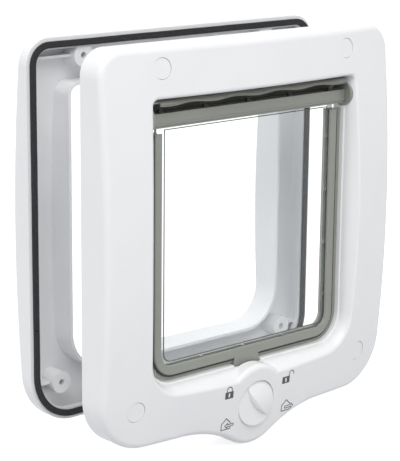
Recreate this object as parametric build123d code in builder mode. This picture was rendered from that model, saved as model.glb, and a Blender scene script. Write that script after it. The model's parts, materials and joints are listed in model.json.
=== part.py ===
"""Four-way locking cat flap for a door leaf, in millimetres.

X runs to the right seen from the room, Y runs through the door towards the outside, Z is up.
The origin lies on the door's room-side face, midway between the screw rows.
"""
import math
import os

from build123d import *

# Frame outline, shared by the room-side and the outdoor half
half_width = 118.6
frame_top = 114.0
frame_bottom = -126.8
top_corner_r = 16.0
bottom_corner_r = 32.0
edge_round = 4.0
wall = 2.0

# Crowned faces
crown_r = 925.0
front_crown_depth = 31.6
rear_crown_depth = 24.0

# Door leaf and outdoor half
door_gap = 49.7
foam_thickness = 1.8
foam_inset = 2.1
foam_width = 4.0
foam_joint_gap = 0.5
foam_joint_z = -64.0
rim_width = 7.1
rim_thickness = 4.0
collar_proud = 1.1
rear_side_border = 31.9
rear_bottom_border = 30.5
rear_opening_top_r = 6.0
rear_opening_bottom_r = 25.0
rear_boss_r = 7.0
pilot_hole_r = 2.0
pilot_hole_depth = 13.0
gusset_thickness = 1.6

# Recess and tunnel of the room-side half
top_border = 30.0
opening_top_r = 4.0
side_border = 32.1
bottom_border = 27.3
recess_bottom_r = 24.0
recess_depth = 11.0
side_flare = 4.5
sill_flare = 7.5
roll_steps = 4
roll_reach = 1.5
lip_bottom_r = 19.0
tunnel_step = 0.8
tunnel_top_r = 1.0
lip_depth = 15.6
crease_round = 2.0

# Screws and their caps
upper_screw_inset = 42.6
lower_screw_inset = 23.6
upper_screw_drop = 12.3
lower_screw_rise = 25.1
screw_hole_r = 2.3
screw_head_r = 4.6
screw_seat_depth = 10.0
cap_r = 6.1
cap_gap = 0.25
cap_sink = 0.35
cap_thickness = 2.4
cap_plug_length = 2.6
cap_plug_gap = 0.1
boss_wall = 1.7

# Hinge
axis_behind_lip = 2.0
axis_drop = 12.4
axle_r = 1.5
axle_running_gap = 0.05
axle_seat_gap = 0.02
axle_end_gap = 0.4
bush_r = 8.0
bush_thickness = 6.0
bush_bore_depth = 3.8
bush_seat_gap = 0.05
bush_wall = 1.5
bush_side_gap = 0.3

# Hinge bar, measured from the axis
bar_side_gap = 0.6
bar_front = 3.0
bar_back = 4.0
bar_top = 2.9
bar_bottom = 5.8
bar_groove_z = 3.7
bar_groove = 0.5
bar_bead_r = 0.6
shield_r = 11.8
shield_thickness = 1.2
shield_floor = 1.6
shield_start_deg = -6.0
shield_end_deg = 118.0
shield_corner_r = 3.5
rib_end_inset = 10.6
rib_count_each_side = 2
rib_thickness = 1.2
rib_height = 2.4

# Draught strip, measured from the axis
strip_thickness = 0.8
strip_edge = 9.3
strip_dip = 1.0
strip_end_deg = 138.0

# Flap
panel_thickness = 2.0
panel_slot_depth = 3.0
panel_slot_gap = 0.05
panel_edge_gap = 0.3
trim_depth = 8.0
trim_flange = 1.8
trim_wall = 1.8
trim_side_gap = 5.4
trim_bottom_gap = 4.0
trim_width = 5.7
trim_bottom_width = 6.2
trim_inner_r = 8.5
trim_outer_r = 15.0
trim_top_gap = 3.6
trim_edge_round = 1.1
seal_lip_gap = 0.8
seal_lip_thickness = 1.8
seal_lip_behind = 2.2
rear_trim_gap = 0.1
clamp_rib_pitch = 35.0
clamp_rib_thickness = 1.6
tab_half_width = 10.4
tab_side_gap = 0.9
tab_floor_gap = 2.5
tab_magnet_half = 6.0
tab_magnet_height = 5.0
tab_front_wall = 1.4
magnet_gap = 0.1

# Lock
knob_below_lip = 24.2
lobe_r = 28.0
lobe_blend_r = 80.0
cam_lobe_gap = 0.6
cam_plate = 2.2
cam_hub_r = 8.0
cam_tab_gap = 1.3
cam_rear_gap = 1.8
cam_lobe_middles_deg = (90.0, 270.0)
cam_lobe_span_deg = 98.0
cam_half_span_deg = 178.0
cam_half_start_deg = 136.0
cam_corner_r = 1.5
cam_edge_round = 1.2
dome_cover = 0.2
dome_edge_round = 3.0
slot_end_gap = 0.3
slot_side_gap = 0.4
notch_depth = 8.3
sill_magnet_half_x = 8.0
sill_magnet_y = 7.0
sill_magnet_height = 3.0
sill_pocket_depth = 2.0
sill_pocket_wall = 1.2
knob_r = 15.0
knob_gap = 0.15
knob_seat_depth = 2.2
knob_seat_wall = 2.3
knob_float = 0.2
knob_rim_height = 2.0
knob_edge_round = 0.5
grip_height = 3.6
grip_deg = -50.0
grip_half_length = 11.3
grip_bulge = 2.8
grip_edge_round = 3.4
stem_r = 5.0
stem_gap = 0.08
washer_play = 1.1
washer_thickness = 0.45
washer_r = 9.0
washer_bore_gap = 0.4
washer_end_gap = 0.05
knob_screw_r = 1.4
knob_screw_seat = 0.02
knob_screw_play = 0.2
knob_screw_head_r = 2.9
knob_screw_head = 2.0
knob_screw_bite = 3.2

# Cutters reach past the faces that they open
overlap = 1.0
reach = 2.0 * half_width

# Derived places of the frames
crown_z = (frame_top + frame_bottom) / 2
front_apex_y = -front_crown_depth
rim_y = door_gap + foam_thickness
rear_apex_y = rim_y + rear_crown_depth
rear_half_opening = half_width - rear_side_border
rear_opening_bottom = frame_bottom + rear_bottom_border
opening_top = frame_top - top_border
recess_half_width = half_width - side_border
recess_bottom = frame_bottom + bottom_border
lip_y = front_apex_y + lip_depth
lip_half_width = recess_half_width - side_flare
lip_bottom = recess_bottom + sill_flare
tunnel_half_width = lip_half_width - tunnel_step
tunnel_bottom = lip_bottom + tunnel_step
upper_screw_x = half_width - upper_screw_inset
lower_screw_x = half_width - lower_screw_inset
upper_screw_z = frame_top - upper_screw_drop
lower_screw_z = frame_bottom + lower_screw_rise
screw_places = {
    "upper_left": (-upper_screw_x, upper_screw_z),
    "upper_right": (upper_screw_x, upper_screw_z),
    "lower_left": (-lower_screw_x, lower_screw_z),
    "lower_right": (lower_screw_x, lower_screw_z),
}
cap_recess_r = cap_r + cap_gap
boss_r = cap_recess_r + boss_wall

# Derived places of the hinge and the flap
axis_y = lip_y + axis_behind_lip
axis_z = opening_top - axis_drop
bar_half_length = tunnel_half_width - bar_side_gap
rib_pitch = (bar_half_length - rib_end_inset) / rib_count_each_side
bush_x = bar_half_length + bush_side_gap
axle_half_length = bush_x + bush_bore_depth - axle_end_gap
panel_y = axis_y
trim_front_y = panel_y - trim_flange
trim_back_y = trim_front_y + trim_depth
trim_outer = tunnel_half_width - trim_side_gap
trim_inner = trim_outer - trim_width
trim_outer_bottom = tunnel_bottom + trim_bottom_gap
trim_inner_bottom = trim_outer_bottom + trim_bottom_width
trim_top = axis_z - bar_bottom - trim_top_gap

# Derived places of the lock
notch_floor = tunnel_bottom - notch_depth
notch_underside = notch_floor - wall
notch_half_width = tab_half_width + tab_side_gap
tab_bottom = notch_floor + tab_floor_gap
tab_cavity_y = trim_front_y + tab_front_wall
tab_magnet_z = (trim_outer_bottom + tab_bottom) / 2
sill_magnet_middle_y = trim_front_y + trim_depth / 2
knob_z = lip_bottom - knob_below_lip
cam_r = lobe_r - wall - cam_lobe_gap
cam_front_back_y = trim_front_y - cam_tab_gap
cam_front_y = cam_front_back_y - cam_plate
cam_rear_y = trim_back_y + cam_rear_gap
cam_end_y = cam_rear_y + cam_plate
slot_r = cam_r + slot_end_gap
slot_half_width = math.sqrt(slot_r**2 - (notch_underside - knob_z) ** 2)
front_slot_y = cam_front_y - slot_side_gap
front_slot_back_y = cam_front_back_y + slot_side_gap


def face_plane(y):
    """Plane across the door at the given y, looking out into the room."""
    return Plane.XZ.offset(-y)


def face_y(x, z):
    """Depth of the crowned room-side face at a place across it."""
    return front_apex_y + crown_r - math.sqrt(crown_r**2 - x**2 - (z - crown_z) ** 2)


def slab(shape, y_from, y_to):
    """Solid of the given outline between two places along the door axis."""
    with BuildPart(mode=Mode.PRIVATE) as solid:
        with BuildSketch(face_plane(y_to)):
            add(shape)
        extrude(amount=y_to - y_from)
    return solid.part


def post(x, z, radius, y_from, y_to):
    """Round post along the door axis."""
    with BuildPart(mode=Mode.PRIVATE) as solid:
        with BuildSketch(face_plane(y_to)):
            with Locations((x, z)):
                Circle(radius)
        extrude(amount=y_to - y_from)
    return solid.part


def block(x_from, x_to, y_from, y_to, z_from, z_to):
    """Rectangular block between six limits."""
    with BuildPart(mode=Mode.PRIVATE) as solid:
        middle = ((x_from + x_to) / 2, (y_from + y_to) / 2, (z_from + z_to) / 2)
        with Locations(middle):
            Box(x_to - x_from, y_to - y_from, z_to - z_from)
    return solid.part


def grown(shape, amount):
    """Outline moved outwards by the given amount, or inwards if it is negative."""
    with BuildSketch(mode=Mode.PRIVATE) as moved:
        add(shape)
        offset(amount=amount, kind=Kind.ARC, mode=Mode.REPLACE)
    return moved.sketch


def opening_shape(half, top, bottom, top_r, bottom_r):
    """Upright opening with its own radii at the top and bottom corners."""
    with BuildSketch(mode=Mode.PRIVATE) as outline:
        with Locations((0, (top + bottom) / 2)):
            Rectangle(2 * half, top - bottom)
        fillet(outline.vertices().group_by(Axis.Y)[-1], top_r)
        fillet(outline.vertices().group_by(Axis.Y)[0], bottom_r)
    return outline.sketch


def lobed(shape):
    """Frame outline with the round lobe under the knob blended into its lower edge."""
    with BuildSketch(mode=Mode.PRIVATE) as outline:
        add(shape)
        with Locations((0, knob_z)):
            Circle(lobe_r)
        corners = outline.vertices().filter_by(lambda v: abs(v.X) < lobe_r)
        fillet(corners.filter_by(lambda v: v.Y < knob_z), lobe_blend_r)
    return outline.sketch


def crown(apex_y, facing, inset):
    """Ball whose surface is a crowned face; facing is -1 for the room, +1 for outside."""
    with BuildPart(mode=Mode.PRIVATE) as ball:
        with Locations((0, apex_y - facing * crown_r, crown_z)):
            Sphere(crown_r - inset)
    return ball.part


def recess_shape(share):
    """Recess outline at a share of its depth: 0 at the lip, 1 at the crease, rolling outwards."""
    return opening_shape(
        lip_half_width + (recess_half_width - lip_half_width) * share**2,
        opening_top,
        lip_bottom + (recess_bottom - lip_bottom) * share**2,
        opening_top_r,
        lip_bottom_r + (recess_bottom_r - lip_bottom_r) * share**2,
    )


def recess_body(growth):
    """Rolled recess from the lip out into the room, grown by a wall if wanted."""
    with BuildPart(mode=Mode.PRIVATE) as flare:
        for step in range(roll_steps + 1):
            share = roll_reach * step / roll_steps
            with BuildSketch(face_plane(lip_y - recess_depth * share)):
                add(grown(recess_shape(share), growth) if growth else recess_shape(share))
        loft()
    return flare.part


knob_seat_y = face_y(0, knob_z) + knob_seat_depth
knob_seat_back_y = cam_front_y - washer_play
frame_shape = opening_shape(half_width, frame_top, frame_bottom, top_corner_r, bottom_corner_r)
front_shape = lobed(frame_shape)
tunnel_shape = opening_shape(
    tunnel_half_width, opening_top, tunnel_bottom, tunnel_top_r, lip_bottom_r
)
rear_opening_shape = opening_shape(
    rear_half_opening,
    opening_top,
    rear_opening_bottom,
    rear_opening_top_r,
    rear_opening_bottom_r,
)

# Hollow behind the room-side face, around the recess and the tunnel
with BuildPart() as front_hollow:
    add(slab(grown(front_shape, -wall), -reach, overlap))
    add(crown(front_apex_y, -1, wall), mode=Mode.INTERSECT)
    add(recess_body(wall), mode=Mode.SUBTRACT)
    add(slab(grown(tunnel_shape, wall), lip_y - wall, 2 * overlap), mode=Mode.SUBTRACT)

# Bosses behind the room-side face, trimmed by the face itself
with BuildPart() as front_bosses:
    for place_x, place_z in screw_places.values():
        add(post(place_x, place_z, boss_r, -reach, 0))
    add(post(0, knob_z, knob_r + knob_gap + knob_seat_wall, -reach, knob_seat_back_y))
    add(crown(front_apex_y, -1, 0), mode=Mode.INTERSECT)
    add(slab(front_shape, -reach, 0), mode=Mode.INTERSECT)

# Dome of the face that stands up over the sill in front of the cam
with BuildPart() as sill_dome:
    add(post(0, knob_z, cam_r + dome_cover, -reach, front_slot_y))
    add(crown(front_apex_y, -1, 0), mode=Mode.INTERSECT)
    fillet(sill_dome.faces().sort_by(Axis.Y)[0].outer_wire().edges(), dome_edge_round)
    add(block(-reach, reach, -reach, reach, notch_underside, reach), mode=Mode.INTERSECT)

# Room-side frame
with BuildPart() as front_frame:
    add(slab(front_shape, -reach, 0))
    add(crown(front_apex_y, -1, 0), mode=Mode.INTERSECT)
    fillet(front_frame.faces().sort_by(Axis.Y)[0].outer_wire().edges(), edge_round)
    add(recess_body(0), mode=Mode.SUBTRACT)
    fillet(
        front_frame.faces().sort_by(Axis.Y)[0].inner_wires()[0].edges(),
        crease_round,
    )
    add(front_hollow.part, mode=Mode.SUBTRACT)
    add(front_bosses.part)
    for side in (-1, 1):
        with BuildSketch(Plane.YZ.offset(side * tunnel_half_width)):
            with Locations((axis_y, axis_z)):
                Circle(bush_r + bush_wall)
        extrude(amount=side * (bush_x + bush_thickness + bush_wall - tunnel_half_width))
    add(
        block(
            -slot_half_width - wall,
            slot_half_width + wall,
            face_y(slot_half_width, notch_floor) + wall / 2,
            0,
            notch_underside,
            tunnel_bottom,
        )
    )
    for side in (-1, 1):
        core_from = side * (notch_half_width + wall)
        core_to = side * slot_half_width
        add(
            block(
                min(core_from, core_to),
                max(core_from, core_to),
                front_slot_back_y + wall,
                overlap,
                notch_floor,
                tunnel_bottom - wall,
            ),
            mode=Mode.SUBTRACT,
        )
    add(
        block(
            -sill_magnet_half_x - magnet_gap - sill_pocket_wall,
            sill_magnet_half_x + magnet_gap + sill_pocket_wall,
            sill_magnet_middle_y - sill_magnet_y / 2 - magnet_gap - sill_pocket_wall,
            sill_magnet_middle_y + sill_magnet_y / 2 + magnet_gap + sill_pocket_wall,
            notch_underside - sill_pocket_depth,
            notch_underside,
        )
    )
    add(recess_body(0), mode=Mode.SUBTRACT)
    add(sill_dome.part)
    add(slab(tunnel_shape, lip_y - overlap, overlap), mode=Mode.SUBTRACT)
    add(
        block(
            -notch_half_width,
            notch_half_width,
            cam_front_back_y,
            overlap,
            notch_floor,
            tunnel_bottom + overlap,
        ),
        mode=Mode.SUBTRACT,
    )
    add(post(0, knob_z, slot_r, front_slot_y, front_slot_back_y), mode=Mode.SUBTRACT)
    add(
        post(0, knob_z, slot_r, cam_rear_y - slot_side_gap, cam_end_y + slot_side_gap),
        mode=Mode.SUBTRACT,
    )
    add(
        block(
            -sill_magnet_half_x - magnet_gap,
            sill_magnet_half_x + magnet_gap,
            sill_magnet_middle_y - sill_magnet_y / 2 - magnet_gap,
            sill_magnet_middle_y + sill_magnet_y / 2 + magnet_gap,
            notch_underside - sill_pocket_depth,
            notch_underside,
        ),
        mode=Mode.SUBTRACT,
    )
    for side in (-1, 1):
        with BuildSketch(Plane.YZ.offset(side * (tunnel_half_width - overlap))):
            with Locations((axis_y, axis_z)):
                Circle(bush_r + bush_seat_gap)
        extrude(
            amount=side * (bush_x + bush_thickness - tunnel_half_width + overlap),
            mode=Mode.SUBTRACT,
        )
    for place_x, place_z in screw_places.values():
        cap_floor_y = face_y(place_x, place_z) + cap_thickness
        add(post(place_x, place_z, cap_recess_r, -reach, cap_floor_y), mode=Mode.SUBTRACT)
        add(post(place_x, place_z, screw_head_r, -reach, -screw_seat_depth), mode=Mode.SUBTRACT)
        add(post(place_x, place_z, screw_hole_r, -reach, overlap), mode=Mode.SUBTRACT)
    add(post(0, knob_z, knob_r + knob_gap, -reach, knob_seat_y), mode=Mode.SUBTRACT)
    add(post(0, knob_z, stem_r + stem_gap, -reach, overlap), mode=Mode.SUBTRACT)

# Screw caps, a little below the crowned face
screw_caps = []
for cap_name, (place_x, place_z) in screw_places.items():
    cap_floor_y = face_y(place_x, place_z) + cap_thickness
    with BuildPart() as screw_cap:
        add(post(place_x, place_z, cap_r, -reach, cap_floor_y))
        add(crown(front_apex_y, -1, cap_sink), mode=Mode.INTERSECT)
        add(
            post(
                place_x,
                place_z,
                screw_head_r - cap_plug_gap,
                cap_floor_y,
                cap_floor_y + cap_plug_length,
            )
        )
    screw_cap.part.label = "screw_cap_" + cap_name
    screw_caps.append(screw_cap.part)

# Bearing plates for the axle
hinge_bushes = []
for side_name, side in (("left", -1), ("right", 1)):
    with BuildPart() as hinge_bush:
        with BuildSketch(Plane.YZ.offset(side * bush_x)):
            with Locations((axis_y, axis_z)):
                Circle(bush_r)
        extrude(amount=side * bush_thickness)
        with BuildSketch(Plane.YZ.offset(side * bush_x)):
            with Locations((axis_y, axis_z)):
                Circle(axle_r + axle_running_gap)
        extrude(amount=side * bush_bore_depth, mode=Mode.SUBTRACT)
    hinge_bush.part.label = "hinge_bush_" + side_name
    hinge_bushes.append(hinge_bush.part)

# Magnet under the sill
with BuildPart() as sill_magnet:
    add(
        block(
            -sill_magnet_half_x,
            sill_magnet_half_x,
            sill_magnet_middle_y - sill_magnet_y / 2,
            sill_magnet_middle_y + sill_magnet_y / 2,
            notch_underside - sill_magnet_height,
            notch_underside,
        )
    )

# Hinge axle
with BuildPart() as hinge_axle:
    with BuildSketch(Plane.YZ.offset(-axle_half_length)):
        with Locations((axis_y, axis_z)):
            Circle(axle_r)
    extrude(amount=2 * axle_half_length)


def from_axis(y, z):
    """Place in the side view, measured from the hinge axis."""
    return (axis_y + y, axis_z + z)


# Hinge bar: block with the front band and its bead, trough floor, hooded shield and ribs
shield_foot = (shield_r - shield_thickness / 2) * math.cos(math.radians(shield_start_deg))
rib_places = [rib_pitch * step for step in range(-rib_count_each_side, rib_count_each_side + 1)]
with BuildPart() as hinge_bar:
    with BuildSketch(Plane.YZ.offset(-bar_half_length)):
        with BuildLine():
            Polyline(
                from_axis(-bar_front, bar_top),
                from_axis(bar_back, bar_top),
                from_axis(bar_back, -bar_bottom),
                from_axis(-bar_front + bar_groove, -bar_bottom),
                from_axis(-bar_front + bar_groove, -bar_groove_z - bar_groove),
                from_axis(-bar_front, -bar_groove_z),
                close=True,
            )
        make_face()
        with Locations(from_axis(-bar_front, -bar_groove_z)):
            Circle(bar_bead_r)
        with BuildLine():
            Polyline(
                from_axis(bar_back, 0),
                from_axis(shield_foot, 0),
                from_axis(shield_foot, -shield_floor),
                from_axis(bar_back, -shield_floor),
                close=True,
            )
        make_face()
        with BuildLine():
            shield_sweep = shield_end_deg - shield_start_deg
            outer = CenterArc(from_axis(0, 0), shield_r, shield_start_deg, shield_sweep)
            inner = CenterArc(
                from_axis(0, 0),
                shield_r - shield_thickness,
                shield_start_deg,
                shield_sweep,
            )
            Line(outer @ 0, inner @ 0)
            Line(outer @ 1, inner @ 1)
        make_face()
    extrude(amount=2 * bar_half_length)
    bar_outline = opening_shape(
        bar_half_length,
        axis_z + shield_r,
        axis_z - bar_bottom - 2 * overlap,
        shield_corner_r,
        overlap,
    )
    add(slab(bar_outline, -reach, reach), mode=Mode.INTERSECT)
    for rib_x in rib_places:
        with BuildSketch(Plane.YZ.offset(rib_x - rib_thickness / 2)):
            with BuildLine():
                Polyline(
                    from_axis(-bar_front / 2, bar_top),
                    from_axis(bar_back, bar_top),
                    from_axis(bar_back, bar_top + rib_height),
                    from_axis(bar_back - rib_height, bar_top + rib_height),
                    close=True,
                )
            make_face()
        extrude(amount=rib_thickness)
    with BuildSketch(Plane.YZ.offset(-reach)):
        with Locations((axis_y, axis_z)):
            Circle(axle_r + axle_seat_gap)
    extrude(amount=2 * reach, mode=Mode.SUBTRACT)
    add(
        block(
            -reach,
            reach,
            panel_y - panel_slot_gap,
            panel_y + panel_thickness + panel_slot_gap,
            axis_z - bar_bottom - overlap,
            axis_z - bar_bottom + panel_slot_depth,
        ),
        mode=Mode.SUBTRACT,
    )

# Draught strip: soft edge of the hood, whose wavy border comes lower at each rib
strip_r = shield_r - (shield_thickness - strip_thickness) / 2
strip_sweep = strip_end_deg - shield_end_deg
strip_z = axis_z + strip_edge
strip_nodes = []
for step in range(-rib_count_each_side, rib_count_each_side + 1):
    strip_nodes.append((rib_pitch * step, strip_z - strip_dip))
    if step < rib_count_each_side:
        strip_nodes.append((rib_pitch * (step + 0.5), strip_z))
strip_end = min(bar_half_length - shield_corner_r, rib_places[-1] + rib_pitch / 2)
strip_nodes.insert(0, (-strip_end, strip_z))
strip_nodes.append((strip_end, strip_z))
with BuildSketch(mode=Mode.PRIVATE) as strip_field:
    with BuildLine():
        Spline(*strip_nodes)
        Polyline(
            (strip_end, strip_z),
            (strip_end, axis_z + reach),
            (-strip_end, axis_z + reach),
            (-strip_end, strip_z),
        )
    make_face()
with BuildPart() as draught_strip:
    with BuildSketch(Plane.YZ.offset(-strip_end)):
        with BuildLine():
            outer = CenterArc(from_axis(0, 0), strip_r, shield_end_deg, strip_sweep)
            inner = CenterArc(
                from_axis(0, 0), strip_r - strip_thickness, shield_end_deg, strip_sweep
            )
            Line(outer @ 0, inner @ 0)
            Line(outer @ 1, inner @ 1)
        make_face()
    extrude(amount=2 * strip_end)
    add(slab(strip_field.sketch, -reach, reach), mode=Mode.INTERSECT)

# Clear panel
panel_half = trim_outer - trim_wall - panel_edge_gap
panel_bottom = trim_outer_bottom + trim_wall + panel_edge_gap
panel_r = trim_outer_r - trim_wall - panel_edge_gap
with BuildPart() as flap_panel:
    with BuildSketch(face_plane(panel_y + panel_thickness)) as panel_outline:
        panel_top = axis_z - bar_bottom + panel_slot_depth - panel_edge_gap
        with Locations((0, (panel_top + panel_bottom) / 2)):
            Rectangle(2 * panel_half, panel_top - panel_bottom)
        fillet(panel_outline.vertices().group_by(Axis.Y)[0], panel_r)
    extrude(amount=panel_thickness)


def trim_shape(half, bottom, radius, top):
    """Upright field with round lower corners, open ended at the top."""
    with BuildSketch(mode=Mode.PRIVATE) as outline:
        with Locations((0, (top + bottom) / 2)):
            Rectangle(2 * half, top - bottom)
        fillet(outline.vertices().group_by(Axis.Y)[0], radius)
    return outline.sketch


window_shape = trim_shape(trim_inner, trim_inner_bottom, trim_inner_r, trim_top + overlap)

# Front trim with the catch tab and a seal lip around it
with BuildPart() as flap_trim_front:
    add(
        slab(
            trim_shape(trim_outer, trim_outer_bottom, trim_outer_r, trim_top),
            trim_front_y,
            trim_back_y,
        )
    )
    add(
        block(
            -tab_half_width,
            tab_half_width,
            trim_front_y,
            trim_back_y,
            tab_bottom,
            trim_outer_bottom + trim_wall,
        )
    )
    add(slab(window_shape, -reach, reach), mode=Mode.SUBTRACT)
    fillet(flap_trim_front.faces().sort_by(Axis.Y)[0].edges(), trim_edge_round)
    add(
        slab(
            trim_shape(
                tunnel_half_width - seal_lip_gap,
                tunnel_bottom + seal_lip_gap,
                lip_bottom_r - seal_lip_gap,
                trim_top,
            ),
            trim_front_y + seal_lip_behind,
            trim_front_y + seal_lip_behind + seal_lip_thickness,
        )
    )
    add(
        slab(
            trim_shape(
                trim_outer - trim_wall,
                trim_outer_bottom + trim_wall,
                trim_outer_r - trim_wall,
                trim_top + overlap,
            ),
            panel_y,
            reach,
        ),
        mode=Mode.SUBTRACT,
    )
    add(
        block(
            -tab_magnet_half - magnet_gap,
            tab_magnet_half + magnet_gap,
            tab_cavity_y,
            reach,
            tab_magnet_z - tab_magnet_height / 2 - magnet_gap,
            tab_magnet_z + tab_magnet_height / 2 + magnet_gap,
        ),
        mode=Mode.SUBTRACT,
    )

# Rear trim with the ribs that clamp the panel
rear_half = trim_outer - trim_wall - rear_trim_gap
rear_bottom = trim_outer_bottom + trim_wall + rear_trim_gap
rear_r = trim_outer_r - trim_wall - rear_trim_gap
clamp_y = panel_y + panel_thickness
clamp_back_y = trim_back_y - trim_flange
clamp_rows = int((trim_top - trim_inner_bottom) // clamp_rib_pitch)
clamp_columns = int(trim_inner // clamp_rib_pitch)
rear_trim_shape = trim_shape(rear_half, rear_bottom, rear_r, trim_top)
with BuildPart() as clamp_ribs:
    for row in range(clamp_rows):
        rib_z = trim_top - clamp_rib_pitch * (row + 0.5)
        rib_from = rib_z - clamp_rib_thickness / 2
        rib_to = rib_z + clamp_rib_thickness / 2
        add(block(-rear_half, rear_half, clamp_y, clamp_back_y, rib_from, rib_to))
    for column in range(-clamp_columns, clamp_columns + 1):
        rib_from = clamp_rib_pitch * column - clamp_rib_thickness / 2
        rib_to = clamp_rib_pitch * column + clamp_rib_thickness / 2
        add(block(rib_from, rib_to, clamp_y, clamp_back_y, rear_bottom, trim_inner_bottom))
    add(slab(rear_trim_shape, -reach, reach), mode=Mode.INTERSECT)

with BuildPart() as flap_trim_rear:
    add(slab(rear_trim_shape, clamp_back_y, trim_back_y))
    add(clamp_ribs.part)
    add(slab(window_shape, -reach, reach), mode=Mode.SUBTRACT)

# Magnet in the catch tab
with BuildPart() as flap_magnet:
    add(
        block(
            -tab_magnet_half,
            tab_magnet_half,
            tab_cavity_y,
            trim_back_y - magnet_gap,
            tab_magnet_z - tab_magnet_height / 2,
            tab_magnet_z + tab_magnet_height / 2,
        )
    )

# Knob: flat disc with a crowned grip on one side of a bulged edge, and a stem
knob_back_y = knob_seat_y - knob_float
knob_rim_y = knob_back_y - knob_rim_height
grip_outer_r = knob_r - knob_edge_round
grip_ball_r = (grip_outer_r**2 + grip_height**2) / (2 * grip_height)
grip_edge_r = (grip_half_length**2 + grip_bulge**2) / (2 * grip_bulge)
grip_edge_away = grip_edge_r - grip_bulge
with BuildPart() as knob_grip:
    add(
        post(
            -grip_edge_away * math.sin(math.radians(grip_deg)),
            knob_z + grip_edge_away * math.cos(math.radians(grip_deg)),
            grip_edge_r,
            knob_rim_y - grip_height,
            knob_rim_y,
        )
    )
    fillet(knob_grip.edges().group_by(Axis.Y)[0], grip_edge_round)
    add(post(0, knob_z, grip_outer_r, -reach, reach), mode=Mode.INTERSECT)
    with Locations((0, knob_rim_y - grip_height + grip_ball_r, knob_z)):
        Sphere(grip_ball_r, mode=Mode.INTERSECT)

with BuildPart() as lock_knob:
    add(post(0, knob_z, knob_r, knob_rim_y, knob_back_y))
    fillet(lock_knob.edges().group_by(Axis.Y)[0], knob_edge_round)
    add(knob_grip.part)
    add(post(0, knob_z, stem_r, knob_back_y, cam_front_y))
    add(
        post(
            0,
            knob_z,
            knob_screw_r + knob_screw_seat,
            knob_seat_y - knob_screw_bite,
            cam_front_y,
        ),
        mode=Mode.SUBTRACT,
    )


def cam_sector(start_deg, span_deg):
    """Sector of the cam with its hub, from a start angle measured from +X towards +Z."""
    with BuildSketch(mode=Mode.PRIVATE) as outline:
        with BuildLine():
            rim = CenterArc((0, knob_z), cam_r, start_deg, span_deg)
            Line((0, knob_z), rim @ 0)
            Line((0, knob_z), rim @ 1)
        make_face()
        tips = outline.vertices().filter_by(
            lambda v: math.hypot(v.X, v.Y - knob_z) > cam_hub_r
        )
        fillet(tips, cam_corner_r)
        with Locations((0, knob_z)):
            Circle(cam_hub_r)
    return outline.sketch


# Two opposite lobes of the cam in front of the catch tab
with BuildPart() as cam_lobes:
    for middle_deg in cam_lobe_middles_deg:
        lobe_start_deg = middle_deg - cam_lobe_span_deg / 2
        add(slab(cam_sector(lobe_start_deg, cam_lobe_span_deg), cam_front_y, cam_front_back_y))

# The same lobes with a round front rim
with BuildPart() as round_lobes:
    add(post(0, knob_z, cam_r, cam_front_y, cam_front_back_y))
    fillet(round_lobes.edges().group_by(Axis.Y)[0], cam_edge_round)
    add(cam_lobes.part, mode=Mode.INTERSECT)

# Cam with its lobes in front of the catch tab and a half disc behind it
with BuildPart() as lock_cam:
    add(round_lobes.part)
    add(slab(cam_sector(cam_half_start_deg, cam_half_span_deg), cam_rear_y, cam_end_y))
    add(post(0, knob_z, cam_hub_r, cam_front_y, cam_end_y))
    add(post(0, knob_z, knob_screw_r + knob_screw_play, -reach, reach), mode=Mode.SUBTRACT)
    add(
        post(
            0,
            knob_z,
            knob_screw_head_r + knob_screw_play,
            cam_end_y - knob_screw_head,
            reach,
        ),
        mode=Mode.SUBTRACT,
    )

# Screw that ties the cam to the knob
with BuildPart() as knob_screw:
    add(post(0, knob_z, knob_screw_head_r, cam_end_y - knob_screw_head, cam_end_y))
    add(post(0, knob_z, knob_screw_r, knob_seat_y - knob_screw_bite, cam_end_y - knob_screw_head))

# Dished washer between the frame and the cam
washer_bore_r = stem_r + washer_bore_gap
with BuildPart() as spring_washer:
    with BuildSketch(Plane.YZ) as washer_outline:
        with BuildLine():
            Polyline(
                (cam_front_y - washer_end_gap, knob_z + washer_bore_r),
                (cam_front_y - washer_end_gap - washer_thickness, knob_z + washer_bore_r),
                (knob_seat_back_y + washer_end_gap, knob_z + washer_r),
                (knob_seat_back_y + washer_end_gap + washer_thickness, knob_z + washer_r),
                close=True,
            )
        make_face()
    revolve(axis=Axis((0, 0, knob_z), (0, 1, 0)))

# Hollow of the outdoor half around its collar
with BuildPart() as rear_hollow:
    add(slab(grown(frame_shape, -wall), rim_y - overlap, reach))
    add(crown(rear_apex_y, 1, wall), mode=Mode.INTERSECT)
    add(slab(grown(rear_opening_shape, wall), -reach, reach), mode=Mode.SUBTRACT)

# Collar, rim and screw bosses of the outdoor half, trimmed by its face
with BuildPart() as rear_bosses:
    add(slab(grown(rear_opening_shape, wall), rim_y - collar_proud, reach))
    for place_x, place_z in screw_places.values():
        add(post(place_x, place_z, rear_boss_r, rim_y, reach))
        toward = 1 if place_x > 0 else -1
        add(
            block(
                min(place_x, toward * (half_width - wall)),
                max(place_x, toward * (half_width - wall)),
                rim_y + rim_thickness,
                reach,
                place_z - gusset_thickness / 2,
                place_z + gusset_thickness / 2,
            )
        )
    add(crown(rear_apex_y, 1, wall / 2), mode=Mode.INTERSECT)
    add(slab(grown(frame_shape, -wall / 2), -reach, reach), mode=Mode.INTERSECT)

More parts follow.
